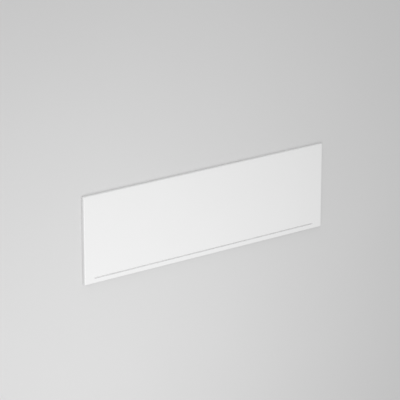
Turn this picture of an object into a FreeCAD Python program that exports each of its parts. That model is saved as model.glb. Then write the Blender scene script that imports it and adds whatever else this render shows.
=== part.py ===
"""Front panel of a straight bath: one sheet of white acrylic formed into a shallow tray.

The panel lies on its back. X runs along the panel from its left end to its right end as seen from
the front, Y runs up the panel from its foot to its top edge, and Z points out of the show face.
The trimmed edges of the four returns lie on the plane Z = 0, and the origin is in the middle of it.
"""
import FreeCAD, Part
import os
import Sketcher

DRIVING_SIZES = {
    "panel_length": 1700,       # left end to right end
    "panel_height": 515,        # foot to top edge
    "return_depth": 20,         # show face to the trimmed edges of the returns
    "sheet_thickness": 4,       # formed acrylic sheet, the same all over
    "mould_radius": 2,          # inside radius of the tray's bends, and the most at the rib's foot
    "bead_height": 31,          # foot to the centre line of the bead
    "bead_end_margin": 66,      # end of the panel to the end of the bead
    "bead_width": 8,            # across the mouth of the bead's groove
    "bead_depth": 9,            # show face to the bottom of the groove
    "bead_taper": 8,            # degrees that each wall of the groove leans
    "bead_mouth_radius": 1,     # rounding where the groove meets the show face
    "bead_root_radius": 1.5,    # rounding at the bottom of the groove
    "trim_chamfer": 0.5,        # scraped outer corner of the trimmed edges
}
CREST_SHARE = 0.8               # most of the rib's depth that the rounding of its crest may take
FOOT_SHARE = 0.15               # most of the rib's depth that the rounding of its foot may take
TOUCHING = 1e-4                 # measures closer than this are the same


def make_sheet(doc):
    """The driving sizes, in millimetres and degrees, one named cell each."""
    sheet = doc.addObject("Spreadsheet::Sheet", "sizes")
    for row, (name, value) in enumerate(DRIVING_SIZES.items(), 1):
        sheet.set(f"A{row}", name)
        sheet.set(f"B{row}", str(value))
        sheet.setAlias(f"B{row}", name)
    doc.recompute()
    return {name: float(sheet.get(name)) for name in DRIVING_SIZES}


def flat_sketch(body, name, height=None):
    """An empty sketch level with the trimmed edges, or raised to a height above them."""
    sketch = body.newObject("Sketcher::SketchObject", name)
    level = next(plane for plane in body.Origin.OriginFeatures if plane.Role == "XY_Plane")
    sketch.AttachmentSupport = [(level, "")]
    sketch.MapMode = "FlatFace"
    if height:
        sketch.setExpression("AttachmentOffset.Base.z", height)
    return sketch


def bind(sketch, name, constraint, expression):
    """Adds a named constraint and ties it to the driving sizes."""
    sketch.addConstraint(constraint)
    sketch.renameConstraint(len(sketch.Constraints) - 1, name)
    sketch.setExpression(f"Constraints.{name}", expression)


def draw_rectangle(sketch, length, height):
    """A rectangle centred on the origin, with its two sizes tied to the given expressions.

    It is first drawn at any size, which the ties then replace.
    """
    right = FreeCAD.Vector(9, 0, 0)
    up = FreeCAD.Vector(0, 5, 0)
    corners = [-right - up, right - up, right + up, up - right]
    for start, end in zip(corners, corners[1:] + corners[:1]):
        sketch.addGeometry(Part.LineSegment(start, end))
    for line in range(4):
        sketch.addConstraint(Sketcher.Constraint("Coincident", line, 2, (line + 1) % 4, 1))
        sketch.addConstraint(Sketcher.Constraint("Vertical" if line % 2 else "Horizontal", line))
    sketch.addConstraint(Sketcher.Constraint("Symmetric", 0, 1, 1, 2, -1, 1))
    bind(sketch, "length", Sketcher.Constraint("DistanceX", 0, 1, 0, 2, 2 * right.x), length)
    bind(sketch, "height", Sketcher.Constraint("DistanceY", 1, 1, 1, 2, 2 * up.y), height)


def draw_bead(sketch, half_width):
    """The bead's outline: a long slot with round ends, its centre line on the bead's height.

    It is first drawn at any size about the origin, and the ties then size and place it.
    """
    reach, radius = 30, 2
    right = FreeCAD.Vector(reach, 0, 0)
    up = FreeCAD.Vector(0, radius, 0)
    tip = FreeCAD.Vector(reach + radius, 0, 0)
    sketch.addGeometry(Part.LineSegment(-right - up, right - up))
    sketch.addGeometry(Part.Arc(right - up, tip, right + up))
    sketch.addGeometry(Part.LineSegment(right + up, up - right))
    sketch.addGeometry(Part.Arc(up - right, -tip, -right - up))
    for line, arc in ((0, 1), (2, 3)):
        sketch.addConstraint(Sketcher.Constraint("Tangent", line, 2, arc, 1))
        sketch.addConstraint(Sketcher.Constraint("Tangent", arc, 2, (line + 2) % 4, 1))
        sketch.addConstraint(Sketcher.Constraint("Horizontal", line))
    half_line = "sizes.panel_length / 2 - sizes.bead_end_margin - sizes.bead_width / 2"
    drop = "sizes.panel_height / 2 - sizes.bead_height"
    bind(sketch, "half_width", Sketcher.Constraint("Radius", 1, radius), half_width)
    bind(sketch, "right_reach", Sketcher.Constraint("DistanceX", -1, 1, 1, 3, reach), half_line)
    bind(sketch, "left_reach", Sketcher.Constraint("DistanceX", 3, 3, -1, 1, reach), half_line)
    bind(sketch, "drop", Sketcher.Constraint("DistanceY", 1, 3, -1, 1, 1), drop)


def extrude(body, kind, name, sketch, length, reverse=False, taper=None):
    """A pad that adds material or a pocket that takes it away, its length tied to the sizes."""
    volume = body.Shape.Volume if body.Tip else 0
    made = body.newObject(f"PartDesign::{kind}", name)
    made.Profile = sketch
    made.Reversed = reverse
    made.setExpression("Length", length)
    if taper:
        made.setExpression("TaperAngle", taper)
    body.Document.recompute()
    if (made.Shape.Volume > volume) != (kind == "Pad"):
        raise RuntimeError(f"{name} went the wrong way")


def dress(body, kind, name, chosen, setting, size):
    """A fillet or chamfer on those edges of the body so far that the test chooses."""
    base = body.Tip
    names = [f"Edge{n}" for n, edge in enumerate(base.Shape.Edges, 1) if chosen(edge.BoundBox)]
    made = body.newObject(f"PartDesign::{kind}", name)
    made.Base = (base, names)
    made.setExpression(setting, size)
    body.Document.recompute()


def same(a, b):
    """True for two measures that differ by no more than rounding."""
    return abs(a - b) < TOUCHING


def level_at(box, height):
    """True for an edge that lies flat at a height."""
    return same(box.ZMin, height) and same(box.ZMax, height)


def corner_to(box, height, half_length):
    """True for an upright corner edge from the trimmed edges up to a height."""
    upright = same(box.XLength, 0) and same(box.ZMin, 0) and same(box.ZMax, height)
    return upright and same(abs(box.XMin), half_length)


def build_panel(doc, size):
    """The panel's body: a tray with a hollow back, then the rib and the groove of its bead."""
    body = doc.addObject("PartDesign::Body", "bath_panel")
    body.Label = "bath_panel"
    face = size["return_depth"]
    back = face - size["sheet_thickness"]
    half_length = size["panel_length"] / 2
    half_height = size["panel_height"] / 2
    inner_half_length = half_length - size["sheet_thickness"]

    # The outside of the tray: the show face and its four returns, with one bend radius all round.
    outline = flat_sketch(body, "outline")
    draw_rectangle(outline, "sizes.panel_length", "sizes.panel_height")
    extrude(body, "Pad", "outside", outline, "sizes.return_depth")
    dress(body, "Fillet", "outside_bends",
          lambda box: level_at(box, face) or corner_to(box, face, half_length),
          "Radius", "sizes.mould_radius + sizes.sheet_thickness")

    # The hollow back leaves the sheet one thickness everywhere.
    inline = flat_sketch(body, "inline")
    draw_rectangle(inline, "sizes.panel_length - 2 * sizes.sheet_thickness",
                   "sizes.panel_height - 2 * sizes.sheet_thickness")
    extrude(body, "Pocket", "hollow_back", inline, "sizes.return_depth - sizes.sheet_thickness",
            reverse=True)
    dress(body, "Fillet", "inside_bends",
          lambda box: level_at(box, back) or corner_to(box, back, inner_half_length),
          "Radius", "sizes.mould_radius")

    # The bead stands out of the back as a rib, one sheet thickness outside its groove.
    bead_line = size["bead_height"] - half_height
    bead_reach = size["bead_width"] / 2 + 2 * size["sheet_thickness"]

    def on_bead(box, height):
        beside = bead_line - bead_reach < box.YMin and box.YMax < bead_line + bead_reach
        return beside and level_at(box, height)

    lean = "(sizes.bead_taper * 1 deg)"
    rib_outline = flat_sketch(body, "rib_outline", "sizes.return_depth - sizes.sheet_thickness")
    draw_bead(rib_outline,
              f"sizes.bead_width / 2 + sizes.sheet_thickness * (1 / cos{lean} - tan{lean})")
    extrude(body, "Pad", "bead_rib", rib_outline, "sizes.bead_depth",
            reverse=True, taper="-sizes.bead_taper")
    dress(body, "Fillet", "rib_crest", lambda box: on_bead(box, back - size["bead_depth"]),
          "Radius", "min(sizes.bead_root_radius + sizes.sheet_thickness; "
                    f"{CREST_SHARE} * sizes.bead_depth)")
    dress(body, "Fillet", "rib_foot", lambda box: on_bead(box, back),
          "Radius", f"min(sizes.mould_radius; {FOOT_SHARE} * sizes.bead_depth)")

    # The groove of the bead, which shows as a dark line along the foot of the show face.
    groove_outline = flat_sketch(body, "groove_outline", "sizes.return_depth")
    draw_bead(groove_outline, "sizes.bead_width / 2")
    extrude(body, "Pocket", "bead_groove", groove_outline, "sizes.bead_depth",
            taper="-sizes.bead_taper")
    dress(body, "Fillet", "groove_root", lambda box: on_bead(box, face - size["bead_depth"]),
          "Radius", "sizes.bead_root_radius")
    dress(body, "Fillet", "groove_mouth", lambda box: on_bead(box, face),
          "Radius", "sizes.bead_mouth_radius")

    # The trimmed edges of the returns are scraped on their outer side.
    def on_trim(box):
        at_end = same(max(abs(box.XMin), abs(box.XMax)), half_length)
        at_side = same(max(abs(box.YMin), abs(box.YMax)), half_height)
        return level_at(box, 0) and (at_end or at_side)

    dress(body, "Chamfer", "scraped_edge", on_trim, "Size", "sizes.trim_chamfer")
    return body


def check(doc, bodies):
    """Stops before anything is written if a feature failed or a shape isn't one sound solid."""
    for item in doc.Objects:
        if {"Invalid", "Error"} & set(item.State):
            raise RuntimeError(f"{item.Name} did not build: {item.State}")
    for body in bodies:
        if body.Shape.isNull() or not body.Shape.isValid() or len(body.Shape.Solids) != 1:
            raise RuntimeError(f"{body.Label} is not one valid solid")


doc = FreeCAD.newDocument("bath_panel_model")
panel = build_panel(doc, make_sheet(doc))
doc.recompute()
check(doc, [panel])
os.makedirs("parts", exist_ok=True)
panel.Shape.exportStep(f"parts/{panel.Label}.step")
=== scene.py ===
"""A white acrylic bath panel, lying face up on a pale studio floor."""
import math

import bmesh
import bpy
from mathutils import Matrix, Vector


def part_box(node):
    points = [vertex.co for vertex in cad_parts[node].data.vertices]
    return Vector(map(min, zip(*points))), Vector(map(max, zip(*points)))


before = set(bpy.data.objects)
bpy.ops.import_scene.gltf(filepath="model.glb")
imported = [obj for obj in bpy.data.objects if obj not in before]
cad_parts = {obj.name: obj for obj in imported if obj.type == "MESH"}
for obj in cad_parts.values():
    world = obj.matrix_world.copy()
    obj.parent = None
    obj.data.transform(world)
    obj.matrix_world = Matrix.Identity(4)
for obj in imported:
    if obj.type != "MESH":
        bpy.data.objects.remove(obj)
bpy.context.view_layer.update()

# The panel is one sheet of white acrylic, heated and drawn over a mould, so the show face, the four
# returns and the bead along the foot are a single skin. The front keeps the sheet's own gloss, the
# back has the dull skin of the mould, and the rims of the returns are sawn off level and left as cut.
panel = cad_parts["bath_panel"]
panel_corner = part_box("bath_panel")[1]
half_sheet = 0.002          # half the sheet's thickness
rim_height = 0.0006         # takes in the sawn rims and their scraped corners
upright = 0.05              # the most that the normal of an upright wall points up
refractive_index = 1.49     # of acrylic


def grey(tone):
    """A neutral colour."""
    return (tone, tone, tone, 1)


# The scale of a skin is about how many blotches it has to the metre, and every depth is in metres.
front_skin = {"Scale": 2.6, "Detail": 2.0, "Deep Colour": grey(0.85), "Light Colour": grey(0.868),
              "Deep Dullness": 0.07, "Light Dullness": 0.12}
front_grain = {"Scale": 420.0, "Detail": 2.0, "Depth": 4e-6}
draw_waves = {"Scale": 6.5, "Detail": 1.0, "Depth": 3e-4}
back_skin = {"Scale": 150.0, "Detail": 4.0, "Deep Colour": grey(0.745), "Light Colour": grey(0.8),
             "Deep Dullness": 0.38, "Light Dullness": 0.56, "Depth": 8e-5}
saw_pattern = {"Scale": 300.0, "Distortion": 9.0, "Detail": 4.0, "Detail Scale": 2.0}
sawn_tones = (grey(0.73), grey(0.83))
sawn_dullness = (0.72, 0.55)
saw_mark_depth = 5e-5

acrylic = bpy.data.materials.new("white_acrylic")
acrylic.use_nodes = True
sheet_tree = acrylic.node_tree
sheet_shader = sheet_tree.nodes["Principled BSDF"]
sheet_shader.inputs["IOR"].default_value = refractive_index


def node(tree, kind, inputs=None, **settings):
    """A shader node, with a value or another node's output on each named input."""
    made = tree.nodes.new(f"ShaderNode{kind}")
    for name, value in settings.items():
        setattr(made, name, value)
    for name, value in (inputs or {}).items():
        if isinstance(value, bpy.types.NodeSocket):
            tree.links.new(value, made.inputs[name])
        else:
            made.inputs[name].default_value = value
    return made


def maths(tree, operation, first, second):
    """One sum on two numbers or outputs."""
    return node(tree, "Math", {0: first, 1: second}, operation=operation).outputs["Value"]


def between(tree, share, low, high):
    """A number that goes from low to high as the share goes from 0 to 1."""
    inputs = {"Value": share, "To Min": low, "To Max": high}
    return node(tree, "MapRange", inputs).outputs["Result"]


def colour_between(tree, share, low, high):
    """A colour that goes from low to high as the share goes from 0 to 1."""
    low_socket, high_socket, result_socket = 6, 7, 2    # by number, as other kinds share their names
    inputs = {"Factor": share, low_socket: low, high_socket: high}
    return node(tree, "Mix", inputs, data_type="RGBA").outputs[result_socket]


def make_mottle():
    """The node group of soft blotches that vary the colour, dullness and relief of a skin."""
    group = bpy.data.node_groups.new("mottle", "ShaderNodeTree")
    takes = {"Place": "Vector", "Scale": "Float", "Detail": "Float",
             "Deep Colour": "Color", "Light Colour": "Color",
             "Deep Dullness": "Float", "Light Dullness": "Float", "Depth": "Float"}
    gives = {"Colour": "Color", "Dullness": "Float", "Relief": "Float"}
    for name, kind in takes.items():
        group.interface.new_socket(name, in_out="INPUT", socket_type=f"NodeSocket{kind}")
    for name, kind in gives.items():
        group.interface.new_socket(name, in_out="OUTPUT", socket_type=f"NodeSocket{kind}")

    given = group.nodes.new("NodeGroupInput").outputs
    result = group.nodes.new("NodeGroupOutput").inputs
    pattern = {"Vector": given["Place"], "Scale": given["Scale"], "Detail": given["Detail"]}
    blotches = node(group, "TexNoise", pattern).outputs["Fac"]
    colour = colour_between(group, blotches, given["Deep Colour"], given["Light Colour"])
    dullness = between(group, blotches, given["Deep Dullness"], given["Light Dullness"])
    relief = between(group, blotches, 0.0, given["Depth"])
    group.links.new(colour, result["Colour"])
    group.links.new(dullness, result["Dullness"])
    group.links.new(relief, result["Relief"])
    return group


mottle = make_mottle()


def mottled(tree, place, skin):
    """The colour, dullness and relief of one skin, from the mottle group with that skin's values."""
    return node(tree, "Group", {"Place": place, **skin}, node_tree=mottle).outputs


where = node(sheet_tree, "TexCoord")
place = where.outputs["Object"]
reach = node(sheet_tree, "VectorMath", {0: place}, operation="ABSOLUTE").outputs["Vector"]
from_middle = node(sheet_tree, "SeparateXYZ", {"Vector": reach}).outputs
facing = node(sheet_tree, "SeparateXYZ", {"Vector": where.outputs["Normal"]}).outputs

# The back is every surface inside the returns that is upright or faces down.
within_ends = maths(sheet_tree, "LESS_THAN", from_middle["X"], panel_corner.x - half_sheet)
within_sides = maths(sheet_tree, "LESS_THAN", from_middle["Y"], panel_corner.y - half_sheet)
within_returns = maths(sheet_tree, "MULTIPLY", within_ends, within_sides)
facing_back = maths(sheet_tree, "LESS_THAN", facing["Z"], upright)
on_back = maths(sheet_tree, "MULTIPLY", facing_back, within_returns)
on_rim = maths(sheet_tree, "LESS_THAN", from_middle["Z"], rim_height)

front = mottled(sheet_tree, place, front_skin)
back = mottled(sheet_tree, place, back_skin)
grain = mottled(sheet_tree, place, front_grain)
waves = mottled(sheet_tree, place, draw_waves)
saw_marks = node(sheet_tree, "TexWave", {"Vector": place, **saw_pattern},
                 bands_direction="DIAGONAL").outputs["Fac"]


def by_surface(blend, on_front, behind, sawn):
    """What the front has, except on the back and on the sawn rims."""
    return blend(sheet_tree, on_rim, blend(sheet_tree, on_back, on_front, behind), sawn)


sheet_colour = by_surface(colour_between, front["Colour"], back["Colour"],
                          colour_between(sheet_tree, saw_marks, *sawn_tones))
sheet_tree.links.new(sheet_colour, sheet_shader.inputs["Base Color"])

sheet_dullness = by_surface(between, front["Dullness"], back["Dullness"],
                            between(sheet_tree, saw_marks, *sawn_dullness))
sheet_tree.links.new(sheet_dullness, sheet_shader.inputs["Roughness"])

fine_relief = by_surface(between, grain["Relief"], back["Relief"],
                         between(sheet_tree, saw_marks, 0.0, saw_mark_depth))
sheet_relief = maths(sheet_tree, "ADD", fine_relief, waves["Relief"])
bump = node(sheet_tree, "Bump", {"Height": sheet_relief, "Distance": 1.0})
sheet_tree.links.new(bump.outputs["Normal"], sheet_shader.inputs["Normal"])

panel.data.materials.clear()
panel.data.materials.append(acrylic)

# The floor is a wide sheet of pale grey studio board, rolled out flat under the panel.
# Its matt face has only a faint paper mottle.
floor_reach = 20            # from its middle to each side
floor_squares = 8           # along each side
board_skin = {"Scale": 1.2, "Detail": 3.0, "Deep Colour": grey(0.67), "Light Colour": grey(0.69),
              "Deep Dullness": 0.75, "Light Dullness": 0.85}

board = bmesh.new()
bmesh.ops.create_grid(board, x_segments=floor_squares, y_segments=floor_squares, size=floor_reach)
floor_mesh = bpy.data.meshes.new("floor")
board.to_mesh(floor_mesh)
board.free()
floor = bpy.data.objects.new("floor", floor_mesh)
scene = bpy.context.scene
scene.collection.objects.link(floor)

paper = bpy.data.materials.new("studio_board")
paper.use_nodes = True
paper_tree = paper.node_tree
paper_shader = paper_tree.nodes["Principled BSDF"]
board_face = mottled(paper_tree, node(paper_tree, "TexCoord").outputs["Object"], board_skin)
paper_tree.links.new(board_face["Colour"], paper_shader.inputs["Base Color"])
paper_tree.links.new(board_face["Dullness"], paper_shader.inputs["Roughness"])
floor_mesh.materials.append(paper)

# The light is a bright room with a softbox hung past the left end and the foot, from which the light
# falls off along the face, and a weak broad lamp far off past the top edge, which brightens its bend.
room_strength = 0.52
softbox_side = 3.0
softbox_watts = 46.5
softbox_place = Vector((-1.05, -0.85, 2.7))
lamp_strength = 0.60
lamp_breadth = math.radians(70)
lamp_direction = Vector((-0.35, 0.80, 0.48))        # from the panel to the lamp

room = bpy.data.worlds.new("bright_room")
room.use_nodes = True
room_light = room.node_tree.nodes["Background"]
room_light.inputs["Color"].default_value = grey(1)
room_light.inputs["Strength"].default_value = room_strength
scene.world = room

softbox = bpy.data.lights.new("softbox", "AREA")
softbox.size = softbox_side
softbox.energy = softbox_watts
softbox_stand = bpy.data.objects.new("softbox", softbox)
softbox_stand.location = softbox_place
scene.collection.objects.link(softbox_stand)

lamp = bpy.data.lights.new("top_lamp", "SUN")
lamp.energy = lamp_strength
lamp.angle = lamp_breadth
lamp_stand = bpy.data.objects.new("top_lamp", lamp)
lamp_stand.rotation_euler = (-lamp_direction).to_track_quat("-Z", "Y").to_euler()
scene.collection.objects.link(lamp_stand)

# The camera looks down on the panel from past its left end and top edge with a long lens, turned so
# that the top edge is up in the picture.
view_left = math.radians(36.88)                     # off square to the face, past the left end
view_up = math.radians(18.27)                       # and past the top edge
view_distance = 13.106
view_middle = Vector((-0.0519, 0.0857, 0.020))      # the point of the face in mid picture
lens_pixels = 2302                                  # the focal length, in pixels of the picture
picture_pixels = 400                                # the width of the picture

look = Vector((math.sin(view_left) * math.cos(view_up), -math.sin(view_up),
               -math.cos(view_left) * math.cos(view_up)))
rightward = Vector((math.cos(view_left), 0, math.sin(view_left)))
upward = rightward.cross(look)
turn = Matrix((rightward, upward, -look)).transposed().to_4x4()
camera_lens = bpy.data.cameras.new("camera")
camera_lens.lens = camera_lens.sensor_width * lens_pixels / picture_pixels
camera = bpy.data.objects.new("camera", camera_lens)
camera.matrix_world = Matrix.Translation(view_middle - view_distance * look) @ turn
scene.collection.objects.link(camera)
scene.camera = camera
scene.view_settings.view_transform = "Standard"
